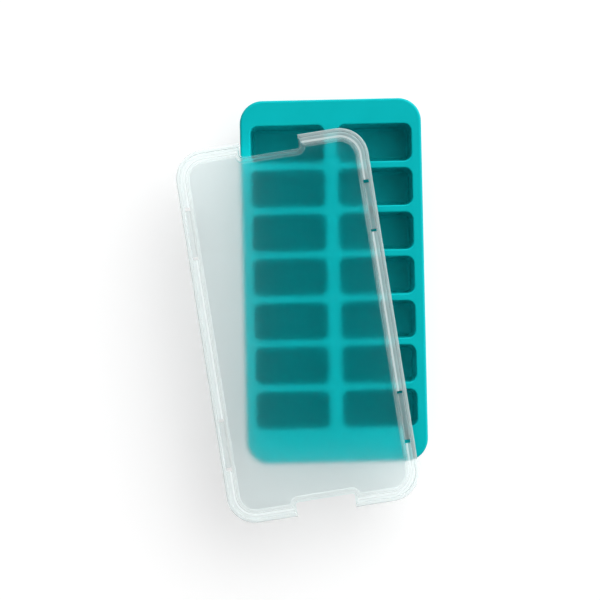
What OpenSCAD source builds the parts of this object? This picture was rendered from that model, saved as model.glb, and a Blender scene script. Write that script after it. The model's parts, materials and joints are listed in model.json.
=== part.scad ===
// Ice cube tray of soft silicone with a stiff clear lid, which snaps over the tray's rim.
// Sizes are in millimetres. +Z is up, +X runs across the tray and +Y along it.
// The origin is in the middle of the tray, on the plane that its cups stand on.

/* [Cups] */
// Cups across the tray
columns = 2; // [1:1:3]
// Cups along the tray
rows = 7; // [4:1:9]
// Mouth of a cup, across the tray
cup_w = 45; // [30:0.5:60]
// Mouth of a cup, along the tray
cup_l = 22.6; // [18:0.2:34]
// Depth of a cup, from its mouth to its floor
cup_depth = 30; // [18:0.5:40]
// Radius of a cup's upright corners, at its mouth
cup_corner_r = 4.6; // [4:0.1:8]
// Radius between a cup's floor and its walls
cup_floor_r = 2.8; // [0.8:0.1:6]
// Lean of a cup's walls from upright, in degrees, to let the ice out
cup_draft = 2.4; // [1:0.1:3]
// Thickness of a cup's walls
cup_wall = 1.6; // [1:0.1:2]
// Thickness of a cup's floor
cup_floor = 1.8; // [1:0.1:3]

/* [Deck and rim of the tray] */
// Deck left between two cups in a column
row_web = 4.4; // [4.2:0.1:8]
// Deck left between two columns of cups
column_web = 8; // [5:0.1:14]
// Deck left beside the cups, along each long edge
side_margin = 6.3; // [5.5:0.1:14]
// Deck left beyond the last row, at the wide grip end
front_margin = 21.3; // [12:0.1:30]
// Deck left beyond the first row, at the other end
back_margin = 15.6; // [12:0.1:30]
// Thickness of the deck
deck_t = 2.4; // [1.6:0.1:3]
// Radius of the tray's corners
tray_corner_r = 14; // [8:0.5:18]
// Thickness of the lip that hangs from the deck's edge
lip_t = 2.4; // [1.6:0.1:3]
// Height of that lip, from the top of the deck
lip_h = 4.6; // [4:0.1:8]
// Radius of the lip's top edge
lip_round = 1.2; // [0.4:0.1:1.5]

/* [Lid] */
// Room between the tray's rim and the lid's skirt
rim_room = 1.5; // [0.8:0.1:2]
// Thickness of the lid's skirt
skirt_t = 2.2; // [1.2:0.1:2.6]
// Width of the clear border round the frosted panel
border_w = 8; // [7:0.1:12]
// Thickness of that border
border_t = 1.6; // [1.2:0.1:2.4]
// Height of the two beads that stand along the border's edges
bead_h = 0.7; // [0.3:0.1:1.5]
// Width of the inner bead
inner_bead_w = 1.7; // [1:0.1:2]
// Width of the rib under the border, which seals on the deck
seal_w = 1.2; // [0.8:0.1:1.6]
// Height of that rib
seal_h = 0.7; // [0.3:0.1:1.2]
// Distance from the lid's outer edge to the middle of that rib
seal_inset = 4.9; // [4.8:0.1:5.4]
// Thickness of the frosted panel
panel_t = 1.6; // [1.2:0.1:2.4]
// Room between the panel and the deck when the lid is shut
panel_room = 0.6; // [0.2:0.1:1.2]

/* [Finger notches in the lid] */
// Width of the notch at the middle of each end
notch_w = 36; // [24:0.5:50]
// Depth of the notch
notch_d = 8.4; // [5:0.1:12]
// Radius of the notch's inner corners
notch_r = 1.6; // [0.8:0.1:3]

/* [Snap hooks of the lid] */
// Distance from the lid's end to the middle of the nearest hook
hook_inset = 49.5; // [46:0.5:60]
// Length of a hook
hook_l = 28.4; // [16:0.2:32]
// Reach of a hook inwards from the skirt
hook_reach = 3.4; // [2.4:0.1:3.6]
// Thickness of a hook
hook_t = 1.5; // [1:0.1:2.2]
// Slope cut under the hook's tip, so that it slides over the tray's rim
hook_lead = 0.8; // [0.3:0.1:0.9]
// Room between the hook and the tray's lip when the lid is shut
hook_room = 0.3; // [0.1:0.1:0.6]
// Length of the window over a hook beyond each of its ends
window_end = 1.8; // [0.5:0.1:3]
// Width of the window beyond the hook's tip
window_side = 0.3; // [0.1:0.1:0.5]

/* [Where the lid lies] */
// Askew on the deck, as it is put down, or pressed shut on the rim
lid_pose = "askew"; // [askew, shut]
// Turn of the askew lid, in degrees
lid_turn = 7.8; // [-12:0.1:12]
// Shift of the askew lid across the tray
lid_shift_x = -22.7; // [-30:0.1:30]
// Shift of the askew lid along the tray
lid_shift_y = -26.5; // [-40:0.1:40]
// Air left between the askew lid's skirt and the deck
lid_gap = 0.3; // [0:0.1:1]

/* [Hidden] */
$fn = 48;

// Overlap that joins two shapes of one piece
joint_lap = 0.4;

// Tray
tray_w = columns * cup_w + (columns - 1) * column_web + 2 * side_margin;
tray_l = rows * cup_l + (rows - 1) * row_web + front_margin + back_margin;
tray_h = cup_floor + cup_depth;
column_pitch = cup_w + column_web;
row_pitch = cup_l + row_web;
first_row_y = tray_l / 2 - back_margin - cup_l / 2;
first_column_x = -(columns - 1) * column_pitch / 2;

// Lid, with z = 0 on the deck of the tray that it shuts
skirt_out = rim_room + skirt_t;
lid_w = tray_w + 2 * skirt_out;
lid_l = tray_l + 2 * skirt_out;
lid_corner_r = tray_corner_r + skirt_out;
border_z = seal_h;
border_top = border_z + border_t;
bead_top = border_top + bead_h;
hook_top = -lip_h - hook_room;
skirt_z = hook_top - hook_t;
hook_y = lid_l / 2 - hook_inset;
window_l = hook_l + 2 * window_end;
window_w = hook_reach + window_side;
notch_band = skirt_t + inner_bead_w;

// Colours
silicone = [0.02, 0.70, 0.72];
clear_plastic = [0.88, 0.93, 0.94, 0.45];

// Rectangle with round corners, centred
module round_rect(w, l, r) {
    square([w - 2 * r, l], center = true);
    square([w, l - 2 * r], center = true);
    for (x = [-1, 1], y = [-1, 1])
        translate([x * (w / 2 - r), y * (l / 2 - r)]) circle(r);
}

// Section of a cup's form: w wide at its mouth, with walls that lean in towards the floor
// at height 0, and a round where they meet it
module cup_section(w, depth, floor_r) {
    round_x = w / 2 - (depth - floor_r) * tan(cup_draft) - floor_r / cos(cup_draft);
    wall_x = round_x + floor_r * cos(cup_draft);
    wall_z = floor_r * (1 - sin(cup_draft));
    polygon([
        [-round_x, 0], [round_x, 0], [wall_x, wall_z], [w / 2, depth],
        [-w / 2, depth], [-wall_x, wall_z]
    ]);
    for (side = [-1, 1]) translate([side * round_x, floor_r]) circle(floor_r);
}

// Solid form of a cup, standing on z = 0, with its mouth w by l at height depth
module cup_form(w, l, r, depth, floor_r) {
    intersection() {
        linear_extrude(depth) round_rect(w, l, r);
        rotate([90, 0, 0]) linear_extrude(l, center = true) cup_section(w, depth, floor_r);
        rotate([90, 0, 90]) linear_extrude(w, center = true) cup_section(l, depth, floor_r);
    }
}

// Puts its children at the middle of each cup's mouth
module at_cups() {
    for (i = [0 : columns - 1], j = [0 : rows - 1])
        translate([first_column_x + i * column_pitch, first_row_y - j * row_pitch]) children();
}

// Section of the lip, with u = 0 at the tray's corner axis and z = 0 on the deck's top
module lip_section() {
    inner_u = tray_corner_r - lip_t;
    translate([inner_u, -lip_h]) square([lip_t, lip_h - lip_round]);
    translate([inner_u, -lip_h]) square([lip_t - lip_round, lip_h]);
    translate([tray_corner_r - lip_round, -lip_round]) intersection() {
        circle(lip_round);
        square(lip_round);
    }
}

// Lip round the deck: straight along the sides, turned at the corners
module lip() {
    half_x = tray_w / 2 - tray_corner_r;
    half_y = tray_l / 2 - tray_corner_r;
    for (side = [0, 180]) rotate(side) {
        translate([half_x, half_y]) rotate([90, 0, 0])
            linear_extrude(2 * half_y) lip_section();
        translate([-half_x, half_y]) rotate([90, 0, 90])
            linear_extrude(2 * half_x) lip_section();
        translate([half_x, half_y]) rotate_extrude(angle = 90) lip_section();
        translate([-half_x, half_y]) rotate(90) rotate_extrude(angle = 90) lip_section();
    }
}

// The tray: a deck with a hanging lip, and the cups let into it
module tray() {
    deck_edge = lip_t - joint_lap;
    color(silicone) difference() {
        union() {
            translate([0, 0, tray_h - deck_t])
                linear_extrude(deck_t) round_rect(tray_w - 2 * deck_edge,
                    tray_l - 2 * deck_edge, tray_corner_r - deck_edge);
            translate([0, 0, tray_h]) lip();
            at_cups() cup_form(cup_w + 2 * cup_wall, cup_l + 2 * cup_wall,
                cup_corner_r + cup_wall, tray_h, cup_floor_r + cup_wall);
        }
        at_cups() translate([0, 0, cup_floor])
            cup_form(cup_w, cup_l, cup_corner_r, cup_depth, cup_floor_r);
    }
}

// Outline of the lid, drawn in by edge along its edges and by notch round its notches
module lid_outline(edge, notch) {
    difference() {
        round_rect(lid_w - 2 * edge, lid_l - 2 * edge, lid_corner_r - edge);
        for (end = [-1, 1]) translate([0, end * lid_l / 2])
            round_rect(notch_w + 2 * notch, 2 * (notch_d + notch), notch_r + notch);
    }
}

// Band of the lid between two outlines, from height low to height high
module lid_band(outer_edge, outer_notch, inner_edge, inner_notch, low, high) {
    translate([0, 0, low]) linear_extrude(high - low) difference() {
        lid_outline(outer_edge, outer_notch);
        lid_outline(inner_edge, inner_notch);
    }
}

// Puts its children at the skirt's inner face over each hook, with +X inwards
module at_hooks() {
    for (side = [0, 180], y = [-hook_y, hook_y])
        rotate(side) translate([skirt_t - lid_w / 2, y]) children();
}

// Hook at the foot of the skirt, cut away under its tip
module hook() {
    rotate([90, 0, 0]) linear_extrude(hook_l, center = true) polygon([
        [-joint_lap, skirt_z],
        [hook_reach - hook_lead, skirt_z],
        [hook_reach, skirt_z + hook_lead],
        [hook_reach, hook_top],
        [-joint_lap, hook_top]
    ]);
}

// The lid as it lies when shut, with the tray's deck at z = 0
module lid_shape() {
    difference() {
        union() {
            lid_band(0, 0, skirt_t, 0, skirt_z, bead_top);
            lid_band(0, 0, skirt_t, skirt_t, panel_room, bead_top);
            lid_band(0, 0, border_w, notch_band, border_z, border_top);
            lid_band(border_w - inner_bead_w, skirt_t, border_w, notch_band, panel_room, bead_top);
            lid_band(seal_inset - seal_w / 2, skirt_t, seal_inset + seal_w / 2, skirt_t,
                0, border_z + joint_lap);
            translate([0, 0, panel_room]) linear_extrude(panel_t)
                lid_outline(border_w - joint_lap, notch_band - joint_lap);
        }
        at_hooks() translate([0, -window_l / 2, -lip_h])
            cube([window_w, window_l, lip_h + bead_top + joint_lap]);
    }
    at_hooks() hook();
}

// The lid, put down askew on the deck or pressed shut on the rim
module lid() {
    askew = lid_pose == "askew";
    color(clear_plastic)
        translate(askew ? [lid_shift_x, lid_shift_y, tray_h + lid_gap - skirt_z] : [0, 0, tray_h])
            rotate(askew ? lid_turn : 0) lid_shape();
}

tray();
lid();
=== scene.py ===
"""Looks of the ice cube tray and its lid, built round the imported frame, in metres."""
import json
import math

import bmesh
import bpy
from mathutils import Matrix, Vector


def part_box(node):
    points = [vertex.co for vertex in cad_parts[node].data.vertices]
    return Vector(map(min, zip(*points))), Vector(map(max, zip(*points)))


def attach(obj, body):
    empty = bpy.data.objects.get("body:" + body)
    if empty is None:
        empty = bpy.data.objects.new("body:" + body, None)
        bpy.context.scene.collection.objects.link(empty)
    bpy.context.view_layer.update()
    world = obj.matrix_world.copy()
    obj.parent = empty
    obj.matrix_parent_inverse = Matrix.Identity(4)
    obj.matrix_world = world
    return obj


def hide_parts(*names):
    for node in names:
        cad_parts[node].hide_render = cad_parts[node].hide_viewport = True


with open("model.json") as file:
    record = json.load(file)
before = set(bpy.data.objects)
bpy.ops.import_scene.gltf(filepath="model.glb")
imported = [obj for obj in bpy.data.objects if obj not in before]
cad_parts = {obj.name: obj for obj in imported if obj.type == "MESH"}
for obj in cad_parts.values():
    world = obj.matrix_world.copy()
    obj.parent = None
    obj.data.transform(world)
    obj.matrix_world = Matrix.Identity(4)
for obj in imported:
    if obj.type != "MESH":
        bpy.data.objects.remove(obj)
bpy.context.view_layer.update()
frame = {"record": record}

MM = 0.001


# Sizes of the tray, in millimetres
tray_low, tray_high = (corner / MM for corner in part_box("tray"))
TRAY_HALF_W = (tray_high.x - tray_low.x) / 2
TRAY_HALF_L = (tray_high.y - tray_low.y) / 2
TRAY_CORNER_R = 14.0
DECK_TOP = tray_high.z
DECK_T = 2.4
DECK_UNDER = DECK_TOP - DECK_T
RIM_ROUND = 1.5
LIP_T = 2.4
LIP_H = 4.6
LIP_FOOT_ROUND = 0.8
LIP_INNER_ROUND = 0.8
CUP_HALF_W = 22.5
CUP_HALF_L = 11.3
CUP_CORNER_R = 4.6
CUP_DEPTH = 30.0
CUP_LEAN = math.tan(math.radians(2.4))
CUP_WALL = 1.6
CUP_FLOOR_R = 2.8
MOUTH_ROUND = 0.9
CUP_ROOT_ROUND = 0.4
CUP_CENTRES = [
    (Vector(opening["box_m"][0]) + Vector(opening["box_m"][1])).xy / 2 / MM
    for opening in frame["record"]["physics"]["openings"]
    if opening["name"].startswith("cup_")
]

# Sizes of the lid, in millimetres, with z = 0 on the deck that it shuts
lid_low, lid_high = (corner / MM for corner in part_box("lid"))
LID_TURN = math.radians(7.8)
LID_TOP = 3.0
LID_MIDDLE = Vector(((lid_low.x + lid_high.x) / 2, (lid_low.y + lid_high.y) / 2, lid_high.z - LID_TOP))
LID_OVERHANG = 3.7
LID_HALF_W = TRAY_HALF_W + LID_OVERHANG
LID_HALF_L = TRAY_HALF_L + LID_OVERHANG
LID_CORNER_R = TRAY_CORNER_R + LID_OVERHANG
SKIRT_T = 2.2
SKIRT_FOOT = -6.4
BORDER_W = 8.0
CHANNEL_TOP = 2.3
BORDER_UNDER = 0.7
INNER_BEAD_W = 1.7
SEAL_INSET = 4.9
SEAL_W = 1.2
SEAL_H = 0.7
PANEL_TOP = 2.2
PANEL_UNDER = 0.6
PANEL_EDGE = 0.4
BEAD_R = 0.5
RIM_R = 0.8
HOLLOW_R = 0.15
NOTCH_HALF_W = 18.0
NOTCH_D = 8.4
NOTCH_R = 1.6
NOTCH_BORDER_W = 3.7
NOTCH_BEAD_W = 0.9
NOTCH_FOOT_R = 0.2
HOOK_MIDDLE_Y = 64.95
HOOK_HALF_L = 14.2
HOOK_REACH = 3.4
HOOK_T = 1.5
HOOK_LEAD = 0.8
WINDOW_HALF_L = 16.0
WINDOW_OUTER = 2.5
WINDOW_INNER = 5.9

# Steps that each round is turned in
TRAY_CORNER_STEPS = 14
CUP_CORNER_STEPS = 8
CUP_FLOOR_STEPS = 6
CUP_ROOT_STEPS = 3
MOUTH_STEPS = 6
RIM_STEPS = 6
LIP_STEPS = 4
SECTION_STEPS = 4
LID_CORNER_STEPS = 16
NOTCH_STEPS = 7

# Angles, in degrees, from which an edge looks sharp
TRAY_SHARP_FROM = 50
LID_SHARP_FROM = 40

# Colours and shares of the finishes
SILICONE_DEEP = (0.0014, 0.430, 0.450, 1)
SILICONE_PALE = (0.0022, 0.480, 0.510, 1)
SILICONE_GLINT = (0.3, 1, 1, 1)
BORDER_TINT = (0.91, 0.985, 0.98, 1)
PANEL_TINT = (0.955, 0.985, 0.985, 1)
HAZE_TINT = (0.75, 0.985, 0.985, 1)
FROST_TINT = (0.86, 0.95, 0.95, 1)
FROST_NARROWING = 2.0
PANEL_HAZE = 0.13
PANEL_SPREAD = 0.93
PANEL_STRAIGHT = 0.40

# The table, in metres. It lies a hair under the cups, so that the two never share a plane
TABLE_HALF = 4.0
TABLE_TOP = -0.0002
TABLE_GREY = 0.60
TABLE_LIFT = 0.465

# Light from the room all round, from its bright side, and from a broad glow low on that side
ROOM_LEVEL = 0.15
SIDE_LEVEL = 0.60
SIDE_BLEND = 0.35
GLOW_LEVEL = 4.1
GLOW_NARROWING = 4.0
GLOW_BEARING = math.radians(51)  # from +X towards +Y
GLOW_RISE = math.radians(20)  # above level
BRIGHT_SIDE = Vector((math.cos(GLOW_BEARING), math.sin(GLOW_BEARING), 0))
GLOW_MIDDLE = BRIGHT_SIDE * math.cos(GLOW_RISE) + Vector((0, 0, math.sin(GLOW_RISE)))

# The camera, in metres, with its lens and sensor in millimetres
CAMERA_X = -0.0209
CAMERA_Y = -0.0111
CAMERA_OVER_DECK = 2.0
CAMERA_TURN = math.radians(-1.27)
CAMERA_NEAR = 0.1
CAMERA_FAR = 20.0
LENS = 196.9
SENSOR_W = 36.0


class Value:
    """A shader socket for Python expressions: each operator adds a Math node."""

    def __init__(self, finish, socket):
        self.finish = finish
        self.socket = socket

    def maths(self, operation, other):
        return self.finish.add("Math", {"operation": operation}, {0: self, 1: other})

    def __add__(self, other):
        return self.maths("ADD", other)

    def __mul__(self, other):
        return self.maths("MULTIPLY", other)

    def __pow__(self, other):
        return self.maths("POWER", other)

    __radd__ = __add__
    __rmul__ = __mul__


class Finish:
    """The nodes of a material or of the world."""

    def __init__(self, owner):
        owner.use_nodes = True
        self.tree = owner.node_tree
        self.tree.nodes.clear()

    def add(self, kind, settings=None, inputs=None, output=0):
        """A new node: its settings come first, then the values or links of its sockets."""
        node = self.tree.nodes.new("ShaderNode" + kind)
        for name, value in (settings or {}).items():
            setattr(node, name, value)
        for name, value in (inputs or {}).items():
            if isinstance(value, Value):
                self.tree.links.new(value.socket, node.inputs[name])
            else:
                node.inputs[name].default_value = value
        return Value(self, node.outputs[output]) if node.outputs else None

    def noise(self, at, per_metre, detail):
        return self.add("TexNoise", inputs={"Vector": at, "Scale": per_metre, "Detail": detail})

    def bump(self, height, strength, depth):
        return self.add("Bump", inputs={"Height": height, "Strength": strength, "Distance": depth})

    def mix_colour(self, share, first, second):
        return self.add("Mix", {"data_type": "RGBA"}, {0: share, 6: first, 7: second}, 2)

    def mix_shader(self, share, first, second):
        return self.add("MixShader", inputs={0: share, 1: first, 2: second})

    def is_ray(self, kind):
        return self.add("LightPath", output="Is " + kind + " Ray")

    def surface(self, shader):
        self.add("OutputMaterial", inputs={"Surface": shader})


def start_finish(name):
    """A new material, its nodes, and the place on the piece that its patterns follow."""
    material = bpy.data.materials.new(name)
    nodes = Finish(material)
    return material, nodes, nodes.add("TexCoord", output="Object")


def grey(level):
    return (level, level, level, 1)


def silicone_finish():
    """Soft teal silicone: satin, with a fine moulded grain and faint clouding."""
    material, nodes, at = start_finish("teal_silicone")
    cloud = nodes.noise(at, per_metre=60.0, detail=3.0)
    grain = nodes.noise(at, per_metre=2600.0, detail=2.0)
    pores = nodes.noise(at, per_metre=700.0, detail=3.0)
    nodes.surface(nodes.add("BsdfPrincipled", inputs={
        "Base Color": nodes.mix_colour(cloud, SILICONE_DEEP, SILICONE_PALE),
        "Roughness": 0.28 + 0.14 * pores,
        "Specular IOR Level": 0.10,
        "Specular Tint": SILICONE_GLINT,
        "Normal": nodes.bump(0.7 * grain + 0.5 * pores, strength=0.10, depth=0.15 * MM),
    }))
    return material


def see_through(nodes, skin, bump, spread, straight):
    """The skin as it is seen. The light that it lets down has plain shares, one spread and one straight."""
    milk = nodes.add("BsdfTranslucent", inputs={"Color": grey(spread), "Normal": bump})
    clear = nodes.add("BsdfTransparent", inputs={"Color": grey(straight)})
    lit = nodes.mix_shader(nodes.is_ray("Diffuse"), skin, milk)
    nodes.surface(nodes.mix_shader(nodes.is_ray("Shadow"), lit, clear))


def clear_finish(name, clearness, roughness, spread, straight):
    """Clear plastic of the lid's border, with faint ripples and smudges."""
    material, nodes, at = start_finish(name)
    ripple = nodes.noise(at, per_metre=220.0, detail=2.0)
    smudge = nodes.noise(at, per_metre=90.0, detail=3.0)
    bump = nodes.bump(ripple, strength=0.08, depth=0.3 * MM)
    skin = nodes.add("BsdfPrincipled", inputs={
        "Base Color": BORDER_TINT,
        "Roughness": roughness + 0.06 * smudge,
        "Transmission Weight": clearness,
        "IOR": 1.25,
        "Normal": bump,
    })
    see_through(nodes, skin, bump, spread, straight)
    return material


def frosted_finish():
    """The lid's panel, finely etched: it blurs what lies under it, and looks whiter at a slant."""
    material, nodes, at = start_finish("frosted_plastic")
    grain = nodes.noise(at, per_metre=1800.0, detail=2.0)
    cloud = nodes.noise(at, per_metre=45.0, detail=3.0)
    bump = nodes.bump(grain, strength=0.10, depth=0.1 * MM)
    blur = nodes.add("BsdfRefraction", inputs={
        "Color": PANEL_TINT, "Roughness": 0.46 + 0.06 * cloud, "IOR": 1.49, "Normal": bump})
    haze = nodes.add("BsdfTranslucent", inputs={"Color": HAZE_TINT, "Normal": bump})
    frost = nodes.add("BsdfDiffuse", inputs={"Color": FROST_TINT, "Normal": bump})
    slant = nodes.add("LayerWeight", inputs={"Blend": 0.5}, output="Facing")
    through = nodes.mix_shader(PANEL_HAZE, blur, haze)
    skin = nodes.mix_shader(slant ** FROST_NARROWING, through, frost)
    see_through(nodes, skin, bump, PANEL_SPREAD, PANEL_STRAIGHT)
    return material


# Places of the lid's finishes in its mesh
CLEAR, FROSTED, MILKY, RIDGE_HIGHLIGHT, SKIRT, UNDER, THIN = range(7)


def lid_finishes():
    """The lid's finishes in the order of their places. Where the moulding is thick, it is milkier. The
    seal's ridge is whiter still: partly milkier moulding, partly a painted highlight line.
    """
    return [
        clear_finish("border_plastic", clearness=0.86, roughness=0.06, spread=0.90, straight=0.90),
        frosted_finish(),
        clear_finish("milky_plastic", clearness=0.73, roughness=0.06, spread=0.95, straight=0.95),
        # The ridge over the seal is made whiter to paint in its highlight line, besides its milkier
        # moulding
        clear_finish("ridge_painted_highlight", clearness=0.42, roughness=0.06, spread=0.90, straight=0.90),
        clear_finish("skirt_plastic", clearness=0.88, roughness=0.40, spread=0.15, straight=0.05),
        clear_finish("under_plastic", clearness=0.98, roughness=0.35, spread=0.95, straight=0.95),
        clear_finish("thin_plastic", clearness=0.96, roughness=0.06, spread=0.90, straight=0.90),
    ]


class Shell:
    """A closed mesh built from points in millimetres. Points that meet become one corner."""

    MEET_DECIMALS = 4

    def __init__(self):
        self.bm = bmesh.new()
        self.corners = {}

    def corner(self, point):
        """The corner at a point, new or met before."""
        key = tuple(round(c, self.MEET_DECIMALS) for c in point)
        if key not in self.corners:
            self.corners[key] = self.bm.verts.new(Vector(point) * MM)
        return self.corners[key]

    def face(self, points, smooth=True, material=0):
        """A face through the points, unless fewer than three of them are apart."""
        corners = []
        for point in points:
            corner = self.corner(point)
            if corner not in corners:
                corners.append(corner)
        if len(corners) < 3:
            return
        face = self.bm.faces.new(corners)
        face.smooth = smooth
        face.material_index = material

    def loft(self, rings):
        """Faces between each ring of points and the next."""
        for ring, after in zip(rings, rings[1:]):
            for k in range(len(ring)):
                self.face((ring[k - 1], ring[k], after[k], after[k - 1]))

    def sheet(self, outline, holes):
        """A flat face between an outline and the holes in it."""
        edges = []
        for ring in (outline, *holes):
            corners = [self.corner(point) for point in ring]
            for k, corner in enumerate(corners):
                pair = (corners[k - 1], corner)
                edges.append(self.bm.edges.get(pair) or self.bm.edges.new(pair))
        made = bmesh.ops.triangle_fill(self.bm, use_beauty=True, edges=edges)
        for piece in made["geom"]:
            if isinstance(piece, bmesh.types.BMFace):
                piece.smooth = False

    def build(self, name, materials, sharp_from, place=Matrix()):
        """The finished piece, moved to its place. Edges are sharp from an angle in degrees."""
        bmesh.ops.recalc_face_normals(self.bm, faces=self.bm.faces)
        self.bm.transform(place)
        mesh = bpy.data.meshes.new(name)
        self.bm.to_mesh(mesh)
        self.bm.free()
        for material in materials:
            mesh.materials.append(material)
        mesh.set_sharp_from_angle(angle=math.radians(sharp_from))
        piece = bpy.data.objects.new(name, mesh)
        bpy.context.scene.collection.objects.link(piece)
        even = piece.modifiers.new("even_normals", "WEIGHTED_NORMAL")
        even.keep_sharp = True
        return piece


def rounded_ring(middle, half_w, half_l, radius, z, steps):
    """Points round a rectangle with round corners."""
    points = []
    for quarter, (sx, sy) in enumerate(((1, 1), (-1, 1), (-1, -1), (1, -1))):
        cx = middle[0] + sx * (half_w - radius)
        cy = middle[1] + sy * (half_l - radius)
        for k in range(steps + 1):
            turn = math.pi / 2 * (quarter + k / steps)
            points.append((cx + radius * math.cos(turn), cy + radius * math.sin(turn), z))
    return points


def rounded(corners, steps):
    """A path through corners (x, z, radius). Each corner with a radius is turned in that many steps."""
    path = []
    for k, (x, z, radius) in enumerate(corners):
        here = Vector((x, z))
        if radius is None:
            path.append(here)
            continue
        if radius == 0:
            path += [here] * (steps + 1)
            continue
        before = (Vector(corners[k - 1][:2]) - here).normalized()
        after = (Vector(corners[k + 1][:2]) - here).normalized()
        half = before.angle(after) / 2
        middle = here + (before + after).normalized() * radius / math.sin(half)
        first, last = (here + way * radius / math.tan(half) - middle for way in (before, after))
        path += [middle + radius * first.slerp(last, s / steps) for s in range(steps + 1)]
    return path


def rounds(start, corners, end, steps):
    """Only the rounds of a path that comes from one place (x, z) and goes on to another."""
    return rounded([(*start, None), *corners, (*end, None)], steps)[1:-1]


def cup_foot(out_at_top, floor_z, floor_r):
    """The round (outset from the mouth, height) between a cup's leaning wall and its floor."""
    out_at_floor = out_at_top - (DECK_TOP - floor_z) * CUP_LEAN
    return rounds(
        (out_at_top, DECK_TOP), [(out_at_floor, floor_z, floor_r)], (-CUP_HALF_L, floor_z),
        CUP_FLOOR_STEPS)


def cup_inside():
    """Places (outset from the mouth, height) down the inside of a cup."""
    mouth = rounds(
        (MOUTH_ROUND * 2, DECK_TOP), [(0, DECK_TOP, MOUTH_ROUND)], (0, DECK_UNDER), MOUTH_STEPS)
    return mouth + cup_foot(0, DECK_TOP - CUP_DEPTH, CUP_FLOOR_R)


def cup_outside():
    """Places (outset from the mouth, height) down the outside of a cup, from the deck's underside."""
    out = CUP_WALL - DECK_T * CUP_LEAN
    root = rounds(
        (out + CUP_ROOT_ROUND * 2, DECK_UNDER), [(out, DECK_UNDER, CUP_ROOT_ROUND)], (out, 0),
        CUP_ROOT_STEPS)
    return root + cup_foot(CUP_WALL, 0, CUP_FLOOR_R + CUP_WALL)


def tray_rim():
    """Places (inset from the edge, height) over the rim, round the lip and up to the deck's underside."""
    foot = DECK_TOP - LIP_H
    over = rounds((RIM_ROUND * 2, DECK_TOP), [(0, DECK_TOP, RIM_ROUND)], (0, foot), RIM_STEPS)
    lip = rounds((0, DECK_TOP), [
        (0, foot, LIP_FOOT_ROUND),
        (LIP_T, foot, LIP_FOOT_ROUND),
        (LIP_T, DECK_UNDER, LIP_INNER_ROUND),
    ], (LIP_T + LIP_INNER_ROUND * 2, DECK_UNDER), LIP_STEPS)
    return over + lip


def make_tray(material):
    """The tray: deck, hanging lip and fourteen cups in one closed skin."""
    shell = Shell()
    rim = [
        rounded_ring((0, 0), TRAY_HALF_W - inset, TRAY_HALF_L - inset, TRAY_CORNER_R - inset, z,
                     TRAY_CORNER_STEPS)
        for inset, z in tray_rim()
    ]
    shell.loft(rim)
    for profile, edge in ((cup_inside(), rim[0]), (cup_outside(), rim[-1])):
        holes = []
        for middle in CUP_CENTRES:
            cup = [
                rounded_ring(middle, CUP_HALF_W + out, CUP_HALF_L + out, CUP_CORNER_R + out, z,
                             CUP_CORNER_STEPS)
                for out, z in profile
            ]
            shell.loft(cup)
            shell.face(cup[-1], smooth=False)
            holes.append(cup[0])
        shell.sheet(edge, holes)
    return shell.build("silicone_tray", [material], TRAY_SHARP_FROM)


def lid_section(hooked=False, notched=False):
    """Places (inset from the edge, height) round the lid's section, from the panel's top to its underside.

    Every section has the same places in the same order, so that rings run on from one to another.
    """
    width, bead = (NOTCH_BORDER_W, NOTCH_BEAD_W) if notched else (BORDER_W, SKIRT_T)
    inner = width - INNER_BEAD_W
    squeeze = (inner - bead) / (BORDER_W - INNER_BEAD_W - SKIRT_T)
    seal_out, seal_in, window_out, window_in = (
        bead + squeeze * (inset - SKIRT_T)
        for inset in (SEAL_INSET - SEAL_W / 2, SEAL_INSET + SEAL_W / 2, WINDOW_OUTER, WINDOW_INNER))
    under = PANEL_UNDER if notched else BORDER_UNDER
    top = [
        (width + PANEL_EDGE, PANEL_TOP, None),
        (width, PANEL_TOP, HOLLOW_R),
        (width, LID_TOP, BEAD_R),
        (inner, LID_TOP, BEAD_R),
        (inner, CHANNEL_TOP, HOLLOW_R),
        (window_in, CHANNEL_TOP, None),
        (seal_in, CHANNEL_TOP, None),
        (seal_out, CHANNEL_TOP, None),
        (window_out, CHANNEL_TOP, None),
        (bead, CHANNEL_TOP, HOLLOW_R),
        (bead, LID_TOP, BEAD_R * bead / SKIRT_T),
        (0, LID_TOP, RIM_R * bead / SKIRT_T),
    ]
    if notched:
        # A notch has no skirt, so the skirt's places after the first lie together at the border's foot
        foot = 2 * NOTCH_FOOT_R
        skirt = [(0, under, NOTCH_FOOT_R), (foot, under, 0)]
        skirt += [(foot, under, None)] * 3
        skirt += [(foot, under, 0)]
    else:
        reach = SKIRT_T + (HOOK_REACH if hooked else 0)
        skirt = [
            (0, SKIRT_FOOT, BEAD_R),
            (reach - (HOOK_LEAD if hooked else 0), SKIRT_FOOT, BEAD_R),
            (reach, SKIRT_FOOT + HOOK_LEAD, None),
            (reach, SKIRT_FOOT + HOOK_T, None),
            (SKIRT_T, SKIRT_FOOT + HOOK_T, None),
            (SKIRT_T, under, HOLLOW_R),
        ]
    seal_r = 0 if notched else HOLLOW_R
    seal_foot = under if notched else under - SEAL_H
    ledge = [
        (window_out, under, None),
        (seal_out, under, None),
        (seal_out, seal_foot, seal_r),
        (seal_in, seal_foot, seal_r),
        (seal_in, under, None),
        (window_in, under, None),
        (width, under, None),
        (width + PANEL_EDGE, PANEL_UNDER, None),
    ]
    return rounded(top + skirt + ledge, SECTION_STEPS)


# The lid's sections, and the rings that their places make round it
RIM_SECTION = lid_section()
HOOK_SECTION = lid_section(hooked=True)
NOTCH_SECTION = lid_section(notched=True)
RINGS = range(len(RIM_SECTION))


def ring_at(inset, z):
    """The ring of the rim's section that is nearest to a place in it."""
    return min(RINGS, key=lambda k: (RIM_SECTION[k] - Vector((inset, z))).length)


def rings_between(first, last):
    """Rings from one place (inset, height) of the rim's section to another."""
    return range(ring_at(*first), ring_at(*last) + 1)


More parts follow.
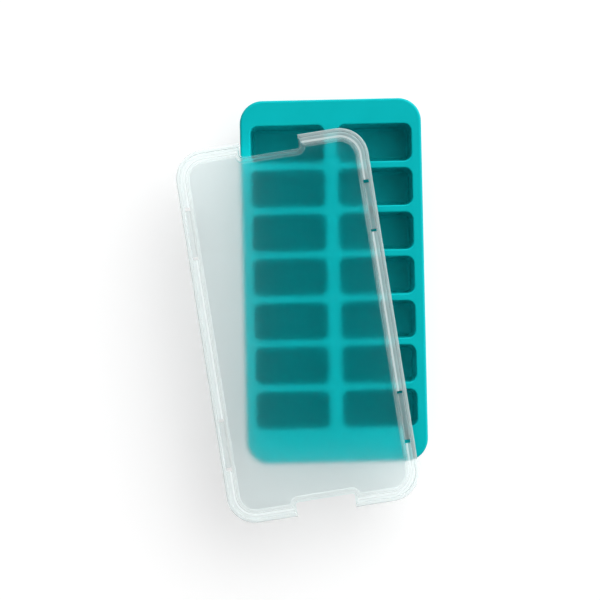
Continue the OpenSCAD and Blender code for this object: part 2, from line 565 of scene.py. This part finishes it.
PANEL_SIDE = ring_at(BORDER_W - BEAD_R, LID_TOP)
WINDOW_TOP = rings_between((WINDOW_INNER, CHANNEL_TOP), (WINDOW_OUTER, CHANNEL_TOP))
WINDOW_UNDER = rings_between((WINDOW_OUTER, BORDER_UNDER), (WINDOW_INNER, BORDER_UNDER))
SEAL_TOP = rings_between((SEAL_INSET + SEAL_W / 2, CHANNEL_TOP), (SEAL_INSET - SEAL_W / 2, CHANNEL_TOP))
SKIRT_RINGS = rings_between((0, SKIRT_FOOT + BEAD_R), (WINDOW_OUTER, BORDER_UNDER))[:-1]
HOOK_TOP = ring_at(SKIRT_T, SKIRT_FOOT + HOOK_T)


# A station is a place round the lid: a function from a ring to its point there
def side_station(y, hooked=False):
    """Across a long side, through a hook or beside it."""
    section = HOOK_SECTION if hooked else RIM_SECTION

    def at(k):
        inset, z = section[k]
        return LID_HALF_W - inset, y, z
    return at


def corner_station(turn):
    """Across a round corner, at an angle from the long side."""
    def at(k):
        inset, z = RIM_SECTION[k]
        reach = LID_CORNER_R - inset
        return (LID_HALF_W - LID_CORNER_R + reach * math.cos(turn),
                LID_HALF_L - LID_CORNER_R + reach * math.sin(turn), z)
    return at


def notch_turn_start(inset, out):
    """Angle on the notch's round where a ring that far in from the lid's end meets it."""
    past = inset - (NOTCH_D - NOTCH_R)
    return math.asin(past / (NOTCH_R + out)) if past > 0 else 0.0


def notch_point(inset, out):
    """Where a ring along the lid's end meets a ring round the notch."""
    turn = notch_turn_start(inset, out)
    return NOTCH_HALF_W - NOTCH_R + (NOTCH_R + out) * math.cos(turn), LID_HALF_L - inset


def notch_inset(k):
    """How far in from the lid's end a ring turns into the notch."""
    return SKIRT_T if k in SKIRT_RINGS else RIM_SECTION[k][0]


def rim_end_station():
    """The rim's end beside a notch, where the skirt is cut off square."""
    def at(k):
        inset, z = RIM_SECTION[k]
        return *notch_point(inset, 0 if k in SKIRT_RINGS else NOTCH_SECTION[k][0]), z
    return at


def notch_mouth_station():
    """The first place in a notch, where its thin border starts."""
    def at(k):
        out, z = NOTCH_SECTION[k]
        return *notch_point(notch_inset(k), out), z
    return at


def notch_turn_station(share):
    """A share of the way round a notch's inner corner."""
    def at(k):
        out, z = NOTCH_SECTION[k]
        start = notch_turn_start(notch_inset(k), out)
        turn = start + (math.pi / 2 - start) * share
        reach = NOTCH_R + out
        return (NOTCH_HALF_W - NOTCH_R + reach * math.cos(turn),
                LID_HALF_L - NOTCH_D + NOTCH_R - reach * math.sin(turn), z)
    return at


def mirrored(station):
    """The same place on the other long side."""
    def at(k):
        x, y, z = station(k)
        return -x, y, z
    return at


def turned_round(station):
    """The same place on the lid turned half round."""
    def at(k):
        x, y, z = station(k)
        return -x, -y, z
    return at


def lid_stations():
    """Stations round the lid, and for each whether a window or a notch lies between it and the next."""
    stations, in_window, in_notch = [], [], []

    def put(station, window=False, notch=False):
        stations.append(station)
        in_window.append(window)
        in_notch.append(notch)

    for middle in (-HOOK_MIDDLE_Y, HOOK_MIDDLE_Y):
        put(side_station(middle - WINDOW_HALF_L), window=True)
        put(side_station(middle - HOOK_HALF_L), window=True)
        put(side_station(middle - HOOK_HALF_L, hooked=True), window=True)
        put(side_station(middle + HOOK_HALF_L, hooked=True), window=True)
        put(side_station(middle + HOOK_HALF_L), window=True)
        put(side_station(middle + WINDOW_HALF_L))
    corner = [
        corner_station(math.pi / 2 * k / LID_CORNER_STEPS) for k in range(LID_CORNER_STEPS + 1)
    ]
    notch = [rim_end_station(), notch_mouth_station()]
    notch += [notch_turn_station(k / NOTCH_STEPS) for k in range(NOTCH_STEPS + 1)]
    for station in corner:
        put(station)
    for station in notch:
        put(station, notch=station != notch[0])
    for station in reversed(notch):
        put(mirrored(station), notch=station not in notch[:2])
    for station in reversed(corner):
        put(mirrored(station))
    return stations + [turned_round(s) for s in stations], in_window * 2, in_notch * 2


def rim_finish(k, notched):
    """The finish of the band between a ring and the next, in a notch or elsewhere."""
    if k < PANEL_SIDE:
        return FROSTED
    if k >= WINDOW_UNDER[0]:
        return UNDER
    if notched:
        return THIN
    # The band over the seal's ridge gets the whiter finish, a painted highlight line
    if k in SEAL_TOP[:-1]:
        return RIDGE_HIGHLIGHT
    if k < WINDOW_TOP[0] or k == HOOK_TOP:
        return CLEAR
    return SKIRT if k in SKIRT_RINGS else MILKY


def make_lid(materials):
    """The lid: one closed skin swept round its edge, with a flat panel inside."""
    shell = Shell()
    stations, in_window, in_notch = lid_stations()
    points = [[station(k) for k in RINGS] for station in stations]
    for s, here in enumerate(points):
        there = points[(s + 1) % len(points)]
        window = in_window[s]
        for k in RINGS[:-1]:
            if window and (k in WINDOW_TOP[:-1] or k in WINDOW_UNDER[:-1]):
                continue
            shell.face((here[k], here[k + 1], there[k + 1], there[k]), material=rim_finish(k, in_notch[s]))
        if window:
            for top, under in ((WINDOW_TOP[0], WINDOW_UNDER[-1]), (WINDOW_TOP[-1], WINDOW_UNDER[0])):
                shell.face((here[top], here[under], there[under], there[top]), smooth=False)
        if window != in_window[s - 1]:
            shell.face([here[k] for k in (*WINDOW_TOP, *WINDOW_UNDER)], smooth=False)
    for k in (RINGS[0], RINGS[-1]):
        shell.face([place[k] for place in points], smooth=False, material=FROSTED)
    place = Matrix.Translation(LID_MIDDLE * MM) @ Matrix.Rotation(LID_TURN, 4, "Z")
    return shell.build("snap_lid", materials, LID_SHARP_FROM, place)


def table_finish():
    """White table top. It looks lifted, also in plastic and through it, so that only shadow is grey."""
    material = bpy.data.materials.new("white_table")
    nodes = Finish(material)
    seen = nodes.is_ray("Camera") + nodes.is_ray("Glossy") + nodes.is_ray("Transmission")
    lit = nodes.add("BsdfDiffuse", inputs={"Color": grey(TABLE_GREY)})
    lift = nodes.add("Emission", inputs={"Color": nodes.mix_colour(seen, grey(0), grey(TABLE_LIFT))})
    nodes.surface(nodes.add("AddShader", inputs={0: lit, 1: lift}))
    return material


def make_table():
    """The plain table that the tray stands on, which isn't part of the object."""
    corners = [
        (x * TABLE_HALF, y * TABLE_HALF, TABLE_TOP)
        for x, y in ((-1, -1), (1, -1), (1, 1), (-1, 1))
    ]
    mesh = bpy.data.meshes.new("table_top")
    mesh.from_pydata(corners, [], [(0, 1, 2, 3)])
    mesh.materials.append(table_finish())
    table = bpy.data.objects.new("table_top", mesh)
    bpy.context.scene.collection.objects.link(table)


def light_room():
    """A pale room, brighter on its back right side, with a broad soft glow low on that side."""
    world = bpy.data.worlds.new("pale_room")
    bpy.context.scene.world = world
    nodes = Finish(world)
    way = nodes.add("TexCoord", output="Generated")
    to_side, to_glow = (
        nodes.add("VectorMath", {"operation": "DOT_PRODUCT"}, {0: way, 1: aim}, "Value")
        for aim in (BRIGHT_SIDE, GLOW_MIDDLE))
    side = nodes.add("MapRange", {"interpolation_type": "SMOOTHSTEP"}, {
        "Value": to_side, "From Min": -SIDE_BLEND, "From Max": SIDE_BLEND})
    glow = nodes.add("MapRange", inputs={"Value": to_glow}) ** GLOW_NARROWING
    level = ROOM_LEVEL + SIDE_LEVEL * side + GLOW_LEVEL * glow
    colour = nodes.add("CombineXYZ", inputs={0: level, 1: level, 2: level})
    nodes.add("OutputWorld", inputs={"Surface": nodes.add("Background", inputs={"Color": colour})})


def make_camera():
    """Straight above, far off, with a long lens."""
    camera = bpy.data.cameras.new("overhead")
    camera.sensor_width = SENSOR_W
    camera.lens = LENS
    camera.clip_start = CAMERA_NEAR
    camera.clip_end = CAMERA_FAR
    eye = bpy.data.objects.new("overhead", camera)
    eye.location = (CAMERA_X, CAMERA_Y, DECK_TOP * MM + CAMERA_OVER_DECK)
    eye.rotation_euler = (0, 0, CAMERA_TURN)
    bpy.context.scene.collection.objects.link(eye)
    bpy.context.scene.camera = eye


tray = make_tray(silicone_finish())
lid = make_lid(lid_finishes())
for piece, body, slot in ((tray, "tray", "silicone"), (lid, "lid", "clear_plastic")):
    # Each body holds one node, which has the body's name
    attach(piece, body)
    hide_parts(body)
make_table()
light_room()
make_camera()
bpy.context.scene.view_settings.view_transform = "Standard"
